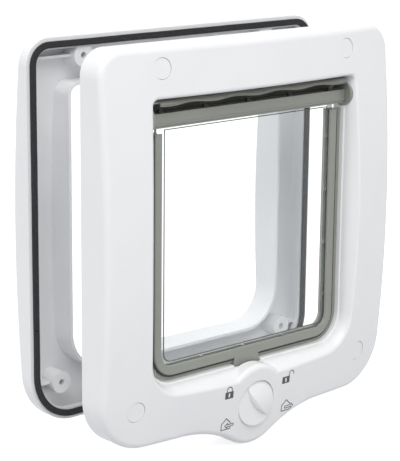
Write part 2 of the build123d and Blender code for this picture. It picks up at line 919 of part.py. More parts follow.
# Outdoor frame
with BuildPart() as rear_frame:
    add(slab(frame_shape, rim_y, reach))
    add(crown(rear_apex_y, 1, 0), mode=Mode.INTERSECT)
    fillet(rear_frame.faces().sort_by(Axis.Y)[-1].outer_wire().edges(), edge_round)
    add(rear_hollow.part, mode=Mode.SUBTRACT)
    add(slab(frame_shape, rim_y, rim_y + rim_thickness))
    add(
        slab(grown(frame_shape, -rim_width), rim_y - overlap, rim_y + rim_thickness),
        mode=Mode.SUBTRACT,
    )
    add(rear_bosses.part)
    add(slab(rear_opening_shape, -reach, reach), mode=Mode.SUBTRACT)
    for place_x, place_z in screw_places.values():
        add(
            post(
                place_x,
                place_z,
                pilot_hole_r,
                rim_y - reach,
                rim_y + pilot_hole_depth,
            ),
            mode=Mode.SUBTRACT,
        )

# Foam seal with its butt joint
with BuildPart() as foam_seal:
    add(slab(grown(frame_shape, -foam_inset), door_gap, rim_y))
    add(
        slab(grown(frame_shape, -foam_inset - foam_width), -reach, reach),
        mode=Mode.SUBTRACT,
    )
    add(
        block(
            -half_width,
            0,
            0,
            reach,
            foam_joint_z - foam_joint_gap / 2,
            foam_joint_z + foam_joint_gap / 2,
        ),
        mode=Mode.SUBTRACT,
    )

front_frame.part.label = "front_frame"
sill_magnet.part.label = "sill_magnet"
hinge_axle.part.label = "hinge_axle"
hinge_bar.part.label = "hinge_bar"
draught_strip.part.label = "draught_strip"
flap_panel.part.label = "flap_panel"
flap_trim_front.part.label = "flap_trim_front"
flap_trim_rear.part.label = "flap_trim_rear"
flap_magnet.part.label = "flap_magnet"
lock_knob.part.label = "lock_knob"
lock_cam.part.label = "lock_cam"
knob_screw.part.label = "knob_screw"
spring_washer.part.label = "spring_washer"
rear_frame.part.label = "rear_frame"
foam_seal.part.label = "foam_seal"

pieces = [
    front_frame.part,
    sill_magnet.part,
    hinge_axle.part,
    hinge_bar.part,
    draught_strip.part,
    flap_panel.part,
    flap_trim_front.part,
    flap_trim_rear.part,
    flap_magnet.part,
    lock_knob.part,
    lock_cam.part,
    knob_screw.part,
    spring_washer.part,
    rear_frame.part,
    foam_seal.part,
]
pieces += screw_caps
pieces += hinge_bushes

os.makedirs("parts", exist_ok=True)
for piece in pieces:
    export_step(piece, "parts/" + piece.label + ".step")
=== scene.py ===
"""Looks of a four-way locking cat flap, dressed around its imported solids.

X runs to the right seen from the room, Y runs through the door towards the outside, Z is up.
Sizes are in millimetres, apart from those of the stage, and MM turns them into Blender's metres.
"""

import json
import logging
import math
from dataclasses import dataclass
from enum import Enum
from typing import Any

import bpy
from bpy.types import ID, Material, Mesh, Node, NodeSocket, NodeTree, Object
from mathutils import Euler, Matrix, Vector

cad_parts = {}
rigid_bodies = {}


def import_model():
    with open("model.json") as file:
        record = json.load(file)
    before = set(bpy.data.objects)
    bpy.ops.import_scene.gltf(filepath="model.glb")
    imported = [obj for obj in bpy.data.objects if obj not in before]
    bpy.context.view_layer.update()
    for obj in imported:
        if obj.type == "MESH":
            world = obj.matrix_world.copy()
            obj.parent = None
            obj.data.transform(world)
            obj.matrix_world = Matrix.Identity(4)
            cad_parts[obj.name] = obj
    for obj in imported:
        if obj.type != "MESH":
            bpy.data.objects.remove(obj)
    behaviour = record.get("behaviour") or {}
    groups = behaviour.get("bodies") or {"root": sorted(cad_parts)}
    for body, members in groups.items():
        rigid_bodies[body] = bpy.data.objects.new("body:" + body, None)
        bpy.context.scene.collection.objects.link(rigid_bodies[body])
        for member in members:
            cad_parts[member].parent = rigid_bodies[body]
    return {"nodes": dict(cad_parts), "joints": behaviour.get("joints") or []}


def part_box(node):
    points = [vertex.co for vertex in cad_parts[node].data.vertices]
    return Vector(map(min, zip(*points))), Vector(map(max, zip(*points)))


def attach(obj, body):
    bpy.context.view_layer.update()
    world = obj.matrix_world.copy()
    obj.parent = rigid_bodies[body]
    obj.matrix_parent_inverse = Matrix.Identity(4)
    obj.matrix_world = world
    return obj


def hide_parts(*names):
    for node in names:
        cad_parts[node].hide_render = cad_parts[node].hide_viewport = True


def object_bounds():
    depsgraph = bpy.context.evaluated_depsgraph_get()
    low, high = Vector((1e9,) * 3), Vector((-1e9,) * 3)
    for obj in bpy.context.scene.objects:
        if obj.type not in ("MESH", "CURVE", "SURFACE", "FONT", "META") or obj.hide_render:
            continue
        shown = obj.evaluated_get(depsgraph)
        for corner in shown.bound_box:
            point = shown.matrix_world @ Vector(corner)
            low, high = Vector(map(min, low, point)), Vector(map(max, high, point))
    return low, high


for spare in list(bpy.data.objects):
    bpy.data.objects.remove(spare)
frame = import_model()
CAD_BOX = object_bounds()

LOG = logging.getLogger("cat_flap")
MM = 0.001
FULL_TURN = 2.0 * math.pi
UPRIGHT = (math.pi / 2, 0.0, 0.0)
WELD_DISTANCE = 0.001 * MM
MITRE_LIMIT = 0.4
WHITE = (1.0, 1.0, 1.0, 1.0)
NOISE_MIDDLE = (0.5, 0.5, 0.5)
MATH = "ShaderNodeMath"
Point = tuple[float, float]
Loop = list[Point]
Feed = Node | NodeSocket | float

# Curve of sRGB colours: a straight foot, then a power
SRGB_TOP = 255.0
SRGB_KNEE = 0.04045
SRGB_FOOT = 12.92
SRGB_OFFSET = 0.055
SRGB_POWER = 2.4

# Places of a Mix node's sockets
MIX_FACTOR = 0
NUMBER_FIRST = 2
NUMBER_SECOND = 3
COLOUR_FIRST = 6
COLOUR_SECOND = 7
COLOUR_RESULT = 2


class Body(Enum):
    """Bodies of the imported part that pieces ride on."""

    FRAME = "frame"
    FLAP = "flap"


class Joint(Enum):
    """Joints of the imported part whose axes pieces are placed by."""

    HINGE = "flap_swing"
    KNOB = "knob_turn"


class Slot(Enum):
    """Material slots of the record, passed along with the new pieces that replace nodes."""

    STRIP = "soft_strip"
    FOAM = "foam"


class Mark(Enum):
    """Pictograms round the knob, one for each setting of the lock."""

    LOCKED = "closed padlock"
    OPEN = "open padlock"
    WAY_IN = "house with an arrow in"
    WAY_OUT = "house with an arrow out"


def linear(code: str) -> tuple[float, float, float, float]:
    """Turns an sRGB hex colour into linear light.

    Args:
        code: Colour as six hex digits after a hash sign.

    Returns:
        Linear red, green, blue and full alpha.
    """
    values = [int(code[at : at + 2], 16) / SRGB_TOP for at in (1, 3, 5)]
    red, green, blue = (
        v / SRGB_FOOT if v <= SRGB_KNEE else ((v + SRGB_OFFSET) / (1 + SRGB_OFFSET)) ** SRGB_POWER
        for v in values
    )
    return (red, green, blue, 1.0)


def per_metre(size_mm: float) -> float:
    """Texture scale at which a pattern repeats about once in the given millimetres."""
    return 1.0 / (size_mm * MM)


def box_mm(node: str) -> tuple[Vector, Vector]:
    """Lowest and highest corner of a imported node, in millimetres."""
    low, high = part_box(node)
    return low / MM, high / MM


def axis_mm(joint: Joint) -> Vector:
    """Point on the axis of a packed joint, in millimetres."""
    return next(Vector(row["pos_m"]) / MM for row in frame["joints"] if row["name"] == joint.value)


def add_node(
    tree: NodeTree,
    kind: str,
    settings: dict[str, Any] | None = None,
    places: dict[int, Any] | None = None,
    **inputs: Any,
) -> Node:
    """Adds a node with its settings, and fills its inputs with values or links.

    A link comes from an output socket or from a node's first output. A list of those is for an
    input that joins several.

    Args:
        tree: Shader or geometry tree that gets the node.
        kind: Blender's name of the node type.
        settings: Properties of the node by name.
        places: Inputs by place, where their names don't tell them apart.
        inputs: Inputs by name, with underscores for spaces.

    Returns:
        The new node.
    """
    node = tree.nodes.new(kind)
    for name, value in (settings or {}).items():
        setattr(node, name, value)
    named = {label.replace("_", " "): value for label, value in inputs.items()}
    for key, given in {**(places or {}), **named}.items():
        for value in given if isinstance(given, list) else [given]:
            source = value.outputs[0] if isinstance(value, Node) else value
            if isinstance(source, NodeSocket):
                tree.links.new(source, node.inputs[key])
            else:
                node.inputs[key].default_value = source
    return node


def new_material(name: str) -> tuple[Material, NodeTree]:
    """Makes a material with an empty node tree.

    Args:
        name: Name of the material.

    Returns:
        The material and its tree.
    """
    material = bpy.data.materials.new(name)
    material.use_nodes = True
    material.node_tree.nodes.clear()
    return material, material.node_tree


@dataclass(frozen=True)
class MouldedPlastic:
    """Injection-moulded plastic: satin, with faint flow clouds and a spark-eroded grain.

    The clouds keep a large face from looking painted, and the grain breaks up its highlights.
    The grain is drawn coarser than the real one, so that it shows.
    """

    name: str
    colour: str
    clouds: str
    roughness: float
    ior: float = 1.5
    roughness_spread: float = 0.05
    cloud_mm: float = 38.0
    cloud_detail: float = 3.0
    grain_mm: float = 0.7
    grain_detail: float = 2.0
    grain_depth_mm: float = 0.006

    def make(self) -> Material:
        """Builds the material.

        Returns:
            The material.
        """
        material, tree = new_material(self.name)
        place = add_node(tree, "ShaderNodeTexCoord").outputs["Object"]
        scale = per_metre(self.cloud_mm)
        clouds = add_node(
            tree, "ShaderNodeTexNoise", Vector=place, Scale=scale, Detail=self.cloud_detail
        )
        scale = per_metre(self.grain_mm)
        grain = add_node(
            tree, "ShaderNodeTexNoise", Vector=place, Scale=scale, Detail=self.grain_detail
        )
        main, faint = linear(self.colour), linear(self.clouds)
        blend = {MIX_FACTOR: clouds, COLOUR_FIRST: main, COLOUR_SECOND: faint}
        tint = add_node(tree, "ShaderNodeMix", {"data_type": "RGBA"}, blend)
        gloss = add_node(
            tree,
            "ShaderNodeMapRange",
            Value=grain,
            To_Min=self.roughness - self.roughness_spread,
            To_Max=self.roughness + self.roughness_spread,
        )
        depth = self.grain_depth_mm * MM
        bump = add_node(tree, "ShaderNodeBump", Height=grain, Distance=depth)
        shader = add_node(
            tree,
            "ShaderNodeBsdfPrincipled",
            Base_Color=tint.outputs[COLOUR_RESULT],
            Roughness=gloss,
            Normal=bump,
            IOR=self.ior,
        )
        add_node(tree, "ShaderNodeOutputMaterial", Surface=shader)
        return material


@dataclass(frozen=True)
class ClearSheet:
    """Extruded polycarbonate: clear, glossy, with a slow waviness that only reflections show."""

    name: str
    colour: str
    roughness: float
    ior: float
    wave_mm: float
    wave_depth_mm: float
    wave_detail: float = 1.0

    def make(self) -> Material:
        """Builds the material, which lets light from lamps pass.

        Returns:
            The material.
        """
        material, tree = new_material(self.name)
        place = add_node(tree, "ShaderNodeTexCoord").outputs["Object"]
        scale = per_metre(self.wave_mm)
        wave = add_node(tree, "ShaderNodeTexNoise", Vector=place, Scale=scale, Detail=self.wave_detail)
        depth = self.wave_depth_mm * MM
        bump = add_node(tree, "ShaderNodeBump", Height=wave, Distance=depth)
        glass = add_node(
            tree,
            "ShaderNodeBsdfPrincipled",
            Base_Color=linear(self.colour),
            Roughness=self.roughness,
            IOR=self.ior,
            Transmission_Weight=1.0,
            Normal=bump,
        )
        through = add_node(tree, "ShaderNodeBsdfTransparent", Color=linear(self.colour))
        lamp_ray = add_node(tree, "ShaderNodeLightPath").outputs["Is Shadow Ray"]
        mix = add_node(tree, "ShaderNodeMixShader", None, {0: lamp_ray, 1: glass, 2: through})
        add_node(tree, "ShaderNodeOutputMaterial", Surface=mix)
        return material


@dataclass(frozen=True)
class CellFoam:
    """Closed-cell foam strip: dull black, pitted all over by cut cells; the pitted spots are painted
    darker than the cell walls, which is painted shade.
    """

    name: str
    colour: str
    pit_shade_colour: str
    roughness: float
    cell_mm: float
    pit_depth_mm: float

    def make(self) -> Material:
        """Builds the material; the cells are drawn coarse enough to show.

        Returns:
            The material.
        """
        material, tree = new_material(self.name)
        place = add_node(tree, "ShaderNodeTexCoord").outputs["Object"]
        cells = add_node(tree, "ShaderNodeTexVoronoi", Vector=place, Scale=per_metre(self.cell_mm))
        # The pit colour is painted shade: the pitted spots are painted darker than the cell walls.
        pit_shade, walls = linear(self.pit_shade_colour), linear(self.colour)
        blend = {MIX_FACTOR: cells, COLOUR_FIRST: pit_shade, COLOUR_SECOND: walls}
        tint = add_node(tree, "ShaderNodeMix", {"data_type": "RGBA"}, blend)
        depth = self.pit_depth_mm * MM
        bump = add_node(tree, "ShaderNodeBump", Height=cells, Distance=depth)
        shader = add_node(
            tree,
            "ShaderNodeBsdfPrincipled",
            Base_Color=tint.outputs[COLOUR_RESULT],
            Roughness=self.roughness,
            Normal=bump,
        )
        add_node(tree, "ShaderNodeOutputMaterial", Surface=shader)
        return material


@dataclass(frozen=True)
class DrawnMetal:
    """Drawn or pressed metal and ceramic: fine lines or specks vary its colour and gloss.

    They are drawn coarser than the real ones, so that they show.
    """

    name: str
    colour: str
    dull: str
    metallic: float
    roughness: float
    line_mm: float
    stretch: tuple[float, float, float]
    roughness_share: float = 0.2

    def make(self) -> Material:
        """Builds the material.

        Returns:
            The material.
        """
        material, tree = new_material(self.name)
        place = add_node(tree, "ShaderNodeTexCoord").outputs["Object"]
        drawn = add_node(tree, "ShaderNodeMapping", Vector=place, Scale=self.stretch)
        lines = add_node(tree, "ShaderNodeTexNoise", Vector=drawn, Scale=per_metre(self.line_mm))
        bright, dull = linear(self.colour), linear(self.dull)
        blend = {MIX_FACTOR: lines, COLOUR_FIRST: bright, COLOUR_SECOND: dull}
        tint = add_node(tree, "ShaderNodeMix", {"data_type": "RGBA"}, blend)
        gloss = add_node(
            tree,
            "ShaderNodeMapRange",
            Value=lines,
            To_Min=self.roughness * (1 - self.roughness_share),
            To_Max=self.roughness * (1 + self.roughness_share),
        )
        shader = add_node(
            tree,
            "ShaderNodeBsdfPrincipled",
            Base_Color=tint.outputs[COLOUR_RESULT],
            Metallic=self.metallic,
            Roughness=gloss,
        )
        add_node(tree, "ShaderNodeOutputMaterial", Surface=shader)
        return material


# White ABS reads as a soft, cool white with broad, weak highlights
WHITE_ABS = MouldedPlastic("white ABS, moulded", "#F0F0F1", "#E9EAEC", roughness=0.38, ior=1.53)
# Smoke-grey ABS is a greenish grey whose round edges catch thin light lines
SMOKE_ABS = MouldedPlastic("smoke-grey ABS, moulded", "#8F918A", "#878981", roughness=0.3, ior=1.53)
# Soft TPE is duller than the bar that it edges
SOFT_TPE = MouldedPlastic(
    "grey TPE, extruded",
    "#8A8B84",
    "#7C7D76",
    roughness=0.55,
    roughness_spread=0.06,
    cloud_mm=12.0,
    grain_mm=0.5,
    grain_depth_mm=0.01,
)
# A matt black for the blocks beside the ribs and the line along the rear trim: painted shade, standing
# for the black shadow beside each rib and the dark gap under the trim
PAINTED_SHADE_BLACK = MouldedPlastic(
    "painted shade, matt black",
    "#33312B",
    "#3D3B34",
    roughness=0.7,
    cloud_mm=3.0,
    grain_mm=0.5,
    grain_depth_mm=0.01,
)
# The edge of the panel's thick border shows as a thin grey line
PANEL_EDGE = MouldedPlastic(
    "polycarbonate edge, clouded",
    "#5C605E",
    "#6A6E6C",
    roughness=0.4,
    ior=1.58,
    cloud_mm=9.0,
    grain_mm=0.4,
    grain_depth_mm=0.002,
)
# A saw-cut edge of the sheet scatters light and reads as a pale, matt strip; this is partly the cut
# finish and partly a painted highlight for the bright line along the panel's edge
SAWN_EDGE_HIGHLIGHT = MouldedPlastic(
    "polycarbonate, sawn edge, painted highlight",
    "#E6E9E9",
    "#D9DDDD",
    roughness=0.7,
    ior=1.58,
    cloud_mm=4.0,
    grain_mm=0.3,
    grain_depth_mm=0.01,
)
# Pad-printed ink is matt, and a little patchy where the pad lifted
PRINT_INK = MouldedPlastic(
    "grey ink, pad-printed",
    "#47474A",
    "#56565A",
    roughness=0.6,
    cloud_mm=2.2,
    grain_mm=0.4,
    grain_depth_mm=0.002,
)
# Clear sheet shows what lies behind it; its IOR is below the usual 1.58 to match weak reflections
CLEAR_PC = ClearSheet(
    "clear polycarbonate, extruded", "#F8FAFA", roughness=0.02, ior=1.36, wave_mm=60.0, wave_depth_mm=0.01
)
# Polyethylene foam is a dull, pitted black that takes no highlight; its darker pit colour is painted
# shade
BLACK_FOAM = CellFoam(
    "black polyethylene foam", "#333335", "#1E1E20", roughness=0.9, cell_mm=0.9, pit_depth_mm=0.12
)
# Zinc-plated steel is a bright, slightly blue grey with lines along the rod
ZINC_STEEL = DrawnMetal(
    "zinc-plated steel, drawn",
    "#C6C9CC",
    "#A9ADB1",
    metallic=1.0,
    roughness=0.32,
    line_mm=0.3,
    stretch=(0.05, 1.0, 1.0),
)
# Ferrite is a dull charcoal ceramic, pressed and ground flat
FERRITE = DrawnMetal(
    "ferrite, pressed",
    "#48484A",
    "#3A3A3C",
    metallic=0.0,
    roughness=0.7,
    line_mm=0.6,
    stretch=(1.0, 1.0, 1.0),
)


def dress(material: Material, *nodes: str) -> list[Object]:
    """Gives CAD nodes a material on all their slots.

    Args:
        material: What the nodes are made of.
        nodes: Names of CAD nodes.

    Returns:
        The objects of the nodes.
    """
    solids = [frame["nodes"][name] for name in nodes]
    for solid in solids:
        slots = solid.data.materials
        if not slots:
            slots.append(material)
        for at in range(len(slots)):
            slots[at] = material
    return solids


def put(name: str, data: ID) -> Object:
    """Puts a new object into the scene.

    Args:
        name: Name of the object.
        data: Its mesh, light or camera.

    Returns:
        The object, at the origin.
    """
    thing = bpy.data.objects.new(name, data)
    bpy.context.scene.collection.objects.link(thing)
    return thing


def loops_mesh(name: str, loops: list[Loop], closed: bool = True) -> Mesh:
    """Makes a wire mesh of flat outlines, from which a node tree takes its curves.

    Args:
        name: Name of the mesh.
        loops: Outlines as points in millimetres.
        closed: Whether each outline runs back to its first point.

    Returns:
        The mesh, lying in the XY plane in metres.
    """
    points: list[tuple[float, float, float]] = []
    edges: list[tuple[int, int]] = []
    for loop in loops:
        first = len(points)
        points += [(x * MM, y * MM, 0.0) for x, y in loop]
        edges += [(at, at + 1) for at in range(first, len(points) - 1)]
        if closed:
            edges.append((len(points) - 1, first))
    mesh = bpy.data.meshes.new(name)
    mesh.from_pydata(points, edges, [])
    return mesh


class ShapeTree:
    """Geometry node tree with named inputs, run once to give a plain mesh."""

    def __init__(self, name: str, sizes: dict[str, float]) -> None:
        """Starts the tree.

        Args:
            name: Name of the tree and of its modifier.
            sizes: Named inputs with their values in millimetres.
        """
        self.tree = bpy.data.node_groups.new(name, "GeometryNodeTree")
        face = self.tree.interface
        face.new_socket("Geometry", in_out="INPUT", socket_type="NodeSocketGeometry")
        face.new_socket("Geometry", in_out="OUTPUT", socket_type="NodeSocketGeometry")
        self.values: dict[str, float] = {}
        for label, value in sizes.items():
            socket = face.new_socket(label, in_out="INPUT", socket_type="NodeSocketFloat")
            self.values[socket.identifier] = value * MM
        self.given = self.add("NodeGroupInput")

    def add(
        self, kind: str, settings: dict[str, Any] | None = None, *places: Any, **inputs: Any
    ) -> Node:
        """Adds a node to the tree, with its inputs by place or by name."""
        return add_node(self.tree, kind, settings, dict(enumerate(places)), **inputs)

    def size(self, label: str) -> NodeSocket:
        """Named input of the tree."""
        return self.given.outputs[label]

    def tube(self, course: Feed, radius: Feed, sides: int) -> Node:
        """Round line along a curve, with closed ends."""
        section = self.add("GeometryNodeCurvePrimitiveCircle", Resolution=sides, Radius=radius)
        return self.add("GeometryNodeCurveToMesh", Curve=course, Profile_Curve=section, Fill_Caps=True)

    def stand(self, flat: Feed, depth: Feed) -> Node:
        """What lies in the XY plane, turned upright at a depth into the door."""
        shift = self.add("ShaderNodeCombineXYZ", Y=depth)
        return self.add("GeometryNodeTransform", Geometry=flat, Translation=shift, Rotation=UPRIGHT)

    def weld(self, *shapes: Feed) -> Node:
        """Shapes joined into one, with the seams between them closed."""
        joined = self.add("GeometryNodeJoinGeometry", Geometry=list(shapes))
        return self.add("GeometryNodeMergeByDistance", Geometry=joined, Distance=WELD_DISTANCE)

    def finish(self, shape: Feed, material: Material) -> None:
        """Ends the tree with real geometry in one material.

        Args:
            shape: Geometry to end with.
            material: What it is made of.
        """
        real = self.add("GeometryNodeRealizeInstances", Geometry=shape)
        dressed = self.add("GeometryNodeSetMaterial", Geometry=real, Material=material)
        self.add("NodeGroupOutput", Geometry=dressed)

    def run(self, name: str, source: Mesh) -> Object:
        """Runs the tree on a source mesh.

        Args:
            name: Name of the piece.
            source: Mesh that the tree starts from.

        Returns:
            The piece with a plain mesh, at the origin.
        """
        carrier = put(f"{name}_source", source)
        modifier = carrier.modifiers.new(self.tree.name, "NODES")
        modifier.node_group = self.tree
        for identifier, value in self.values.items():
            modifier[identifier] = value
        graph = bpy.context.evaluated_depsgraph_get()
        mesh = bpy.data.meshes.new_from_object(carrier.evaluated_get(graph), depsgraph=graph)
        carrier.modifiers.remove(modifier)
        bpy.data.objects.remove(carrier)
        mesh.name = name
        return put(name, mesh)


def settle(piece: Object, body: Body, slot: Slot | None = None, *stands_for: str) -> Object:
    """Puts a finished piece on its body.

    Args:
        piece: Piece with its place in its mesh.
        body: Body that it moves with.
        slot: Material slot of the record, if it has one; not used.
        stands_for: CAD nodes that it replaces.

    Returns:
        The piece.
    """
    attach(piece, body.value)
    if stands_for:
        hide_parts(*stands_for)
    return piece


def arc(middle: Point, radius: float, start_deg: float, end_deg: float, steps: int = 10) -> Loop:
    """Points along an arc.

    Args:
        middle: Centre of the arc.
        radius: Its radius.
        start_deg: Angle of its first point, from +x towards +y.
        end_deg: Angle of its last point.
        steps: Number of chords.

    Returns:
        The points, both ends included.
    """
    turns = [math.radians(start_deg + (end_deg - start_deg) * at / steps) for at in range(steps + 1)]
    return [(middle[0] + radius * math.cos(a), middle[1] + radius * math.sin(a)) for a in turns]


def mitre(before: Point, here: Point, after: Point, width: float) -> Vector:
    """Way from a corner of a path to the left edge of a line drawn along it.

    Args:
        before: Point before the corner, or the corner itself at the start.
        here: The corner.
        after: Point after the corner, or the corner itself at the end.
        width: Width of the line.

    Returns:
        The way to the left edge; the right edge lies as far the other way.
    """
    into = Vector((here[0] - before[0], here[1] - before[1]))
    out = Vector((after[0] - here[0], after[1] - here[1]))
    into = (into if into.length else out).normalized()
    out = (out if out.length else into).normalized()
    along = (into + out).normalized()
    return Vector((-along.y, along.x)) * (width / 2) / max(along.dot(out), MITRE_LIMIT)


def stroke(path: Loop, width: float) -> Loop:
    """Outline of a pen stroke along an open path with mitred corners.

    Args:
        path: Points of the path.
        width: Width of the stroke.

    Returns:
        Closed outline of the stroke.
    """
    left: Loop = []
    right: Loop = []
    for at, (x, y) in enumerate(path):
        side = mitre(path[max(at - 1, 0)], (x, y), path[min(at + 1, len(path) - 1)], width)
        left.append((x + side.x, y + side.y))
        right.append((x - side.x, y - side.y))
    return left + right[::-1]


def ring(corners: Loop, width: float) -> list[Loop]:
    """Outer and inner outline of a line drawn round a closed shape, counter-clockwise.

    Args:
        corners: Corners of the shape.
        width: Width of the line.

    Returns:
        The two outlines.
    """
    outer: Loop = []
    inner: Loop = []
    for at, (x, y) in enumerate(corners):
        side = mitre(corners[at - 1], (x, y), corners[(at + 1) % len(corners)], width)
        outer.append((x - side.x, y - side.y))
        inner.append((x + side.x, y + side.y))
    return [outer, inner]


def rectangle(half: float, low: float, high: float) -> Loop:
    """Corners of an upright rectangle about the middle line, counter-clockwise."""
    return [(-half, low), (half, low), (half, high), (-half, high)]


@dataclass
class RoomHalf:
    """Room-side frame with its caps, bearing plates and printed marks."""

    crown_radius: float = 925.0
    crown_apex: float = -31.6
    crown_middle: float = -6.4
    ink_height: float = 0.04
    ink_depth: float = 0.03
    line: float = 0.62
    body_half: float = 3.3
    body_low: float = -3.9
    body_high: float = 0.7
    keyhole_half: float = 0.65
    keyhole_foot: float = 0.9
    keyhole_head: float = 1.0
    shackle_radius: float = 2.0
    shackle_rise: float = 1.2
    shackle_gap: float = 0.05
    shackle_end: float = 0.6
    house_half: float = 3.7
    house_low: float = -3.6
    house_eaves: float = 0.3
    house_ridge: float = 3.7
    arrow_level: float = -1.4
    arrow_shaft: float = 0.7
    arrow_head: float = 1.65
    arrow_head_length: float = 2.0
    arrow_inner_end: float = -0.8
    arrow_tail_reach: float = 2.4
    arrow_tip_reach: float = 3.2
    arrow_line: float = 0.558

    def padlock(self, opened: bool) -> list[Loop]:
        """Outlines of a padlock with a keyhole.

        Args:
            opened: Whether the shackle is swung out.

        Returns:
            Closed outlines; one inside another is a hole.
        """
        half, low, high = self.body_half, self.body_low, self.body_high
        body = rectangle(half, low, high)
        keyhole = rectangle(self.keyhole_half, low + self.keyhole_foot, high - self.keyhole_head)
        rise = high + self.shackle_rise
        foot_level = high + self.shackle_gap
        radius = self.shackle_radius
        if opened:
            foot = half - self.line
            path = [(foot, foot_level), (foot, rise)]
            path += arc((foot + radius, rise), radius, 180, 0)[1:]
            path.append((foot + 2 * radius, rise - self.shackle_end))
        else:
            path = [(-radius, foot_level)] + arc((0, rise), radius, 180, 0) + [(radius, foot_level)]
        return [body, keyhole, stroke(path, self.line)]

    def house(self, inwards: bool) -> list[Loop]:
        """Outlines of a house whose side wall an arrow passes through.

        Args:
            inwards: Whether the arrow points into the house.

        Returns:
            Closed outlines; one inside another is a hole.
        """
        half, low, eaves = self.house_half, self.house_low, self.house_eaves
        level, shaft, head = self.arrow_level, self.arrow_shaft, self.arrow_head
        walls = [
            (half, level - shaft - self.line),
            (half, low),
            (-half, low),
            (-half, eaves),
            (0, self.house_ridge),
            (half, eaves),
            (half, level + shaft + self.line),
        ]
        if inwards:
            tip, tail = self.arrow_inner_end, half + self.arrow_tail_reach
            neck = tip + self.arrow_head_length
        else:
            tip, tail = half + self.arrow_tip_reach, self.arrow_inner_end
            neck = tip - self.arrow_head_length
        arrow = [
            (tip, level),
            (neck, level - head),
            (neck, level - shaft),
            (tail, level - shaft),
            (tail, level + shaft),
            (neck, level + shaft),
            (neck, level + head),
        ]
        if not inwards:
            arrow.reverse()
        return [stroke(walls, self.line), *ring(arrow, self.arrow_line)]

    def mark_loops(self) -> list[Loop]:
        """Draws the four marks at their places round the knob.

        Returns:
            Outlines of all marks.
        """
        marks: dict[Mark, tuple[Point, list[Loop]]] = {
            Mark.LOCKED: ((-24.0, 12.2), self.padlock(opened=False)),
            Mark.OPEN: ((25.0, 11.7), self.padlock(opened=True)),
            Mark.WAY_IN: ((-24.5, -8.8), self.house(inwards=True)),
            Mark.WAY_OUT: ((27.4, -8.0), self.house(inwards=False)),
        }
        knob = axis_mm(Joint.KNOB)
        loops: list[Loop] = []
        for (right, up), outlines in marks.values():
            x, z = knob.x + right, knob.z + up
            loops += [[(x + u, z + v) for u, v in loop] for loop in outlines]
        return loops

    def print_marks(self, ink: Material) -> Object:
        """Prints the marks on the crowned face, which is part of a sphere.

        Args:
            ink: Material of the print.

        Returns:
            The marks as one piece.
        """
        shape = ShapeTree(
            "marks_on_crowned_face",
            {
                "Crown Radius": self.crown_radius,
                "Crown Middle": self.crown_middle,
                "Print Centre": self.crown_apex + self.ink_depth + self.crown_radius,
                "Ink Thickness": self.ink_depth + self.ink_height,
            },
        )
        curves = shape.add("GeometryNodeMeshToCurve", Mesh=shape.size("Geometry"))
        filled = shape.add("GeometryNodeFillCurve", Curve=curves)
        flat = shape.add("ShaderNodeSeparateXYZ", Vector=shape.add("GeometryNodeInputPosition"))
        across, up = flat.outputs["X"], flat.outputs["Y"]
        radius = shape.size("Crown Radius")
        rise = shape.add(MATH, {"operation": "SUBTRACT"}, up, shape.size("Crown Middle"))
        across_square = shape.add(MATH, {"operation": "MULTIPLY"}, across, across)
        away_square = shape.add(MATH, {"operation": "MULTIPLY_ADD"}, rise, rise, across_square)
        radius_square = shape.add(MATH, {"operation": "MULTIPLY"}, radius, radius)
        drop_square = shape.add(MATH, {"operation": "SUBTRACT"}, radius_square, away_square)
        drop = shape.add(MATH, {"operation": "SQRT"}, drop_square)
        under = shape.add(MATH, {"operation": "SUBTRACT"}, shape.size("Print Centre"), drop)
        on_face = shape.add("ShaderNodeCombineXYZ", X=across, Y=under, Z=up)
        pressed = shape.add("GeometryNodeSetPosition", Geometry=filled, Position=on_face)
        raised = shape.add(
            "GeometryNodeExtrudeMesh",
            {"mode": "FACES"},
            Mesh=pressed,
            Offset=(0.0, -1.0, 0.0),
            Offset_Scale=shape.size("Ink Thickness"),
            Individual=False,
        )
        base = shape.add("GeometryNodeFlipFaces", Mesh=pressed)
        shape.finish(shape.weld(raised, base), ink)
        return shape.run("setting_marks", loops_mesh("mark_outlines", self.mark_loops()))

    def build(self, white: Material, grey: Material, ferrite: Material) -> list[Object]:
        """Dresses the solids and prints the marks.

        Args:
            white: Material of the shell and the caps.
            grey: Material of the bearing plates.
            ferrite: Material of the magnet.

        Returns:
            The solids and the marks.
        """
        caps = [f"screw_cap_{row}_{side}" for row in ("upper", "lower") for side in ("left", "right")]
        pieces = dress(white, "front_frame", *caps)
        pieces += dress(grey, "hinge_bush_left", "hinge_bush_right")
        pieces += dress(ferrite, "sill_magnet")
        pieces.append(settle(self.print_marks(PRINT_INK.make()), Body.FRAME))
        return pieces


@dataclass(frozen=True)
class EdgeLine:
    """Round line along the outline of a node of the flap, open at the top or closed.

    Side, bottom and top say how far it runs outside that node's box, and ahead how far in front.
    """

    node: str
    side: float
    bottom: float
    top: float
    ahead: float
    corner: float
    radius: float
    closed: bool


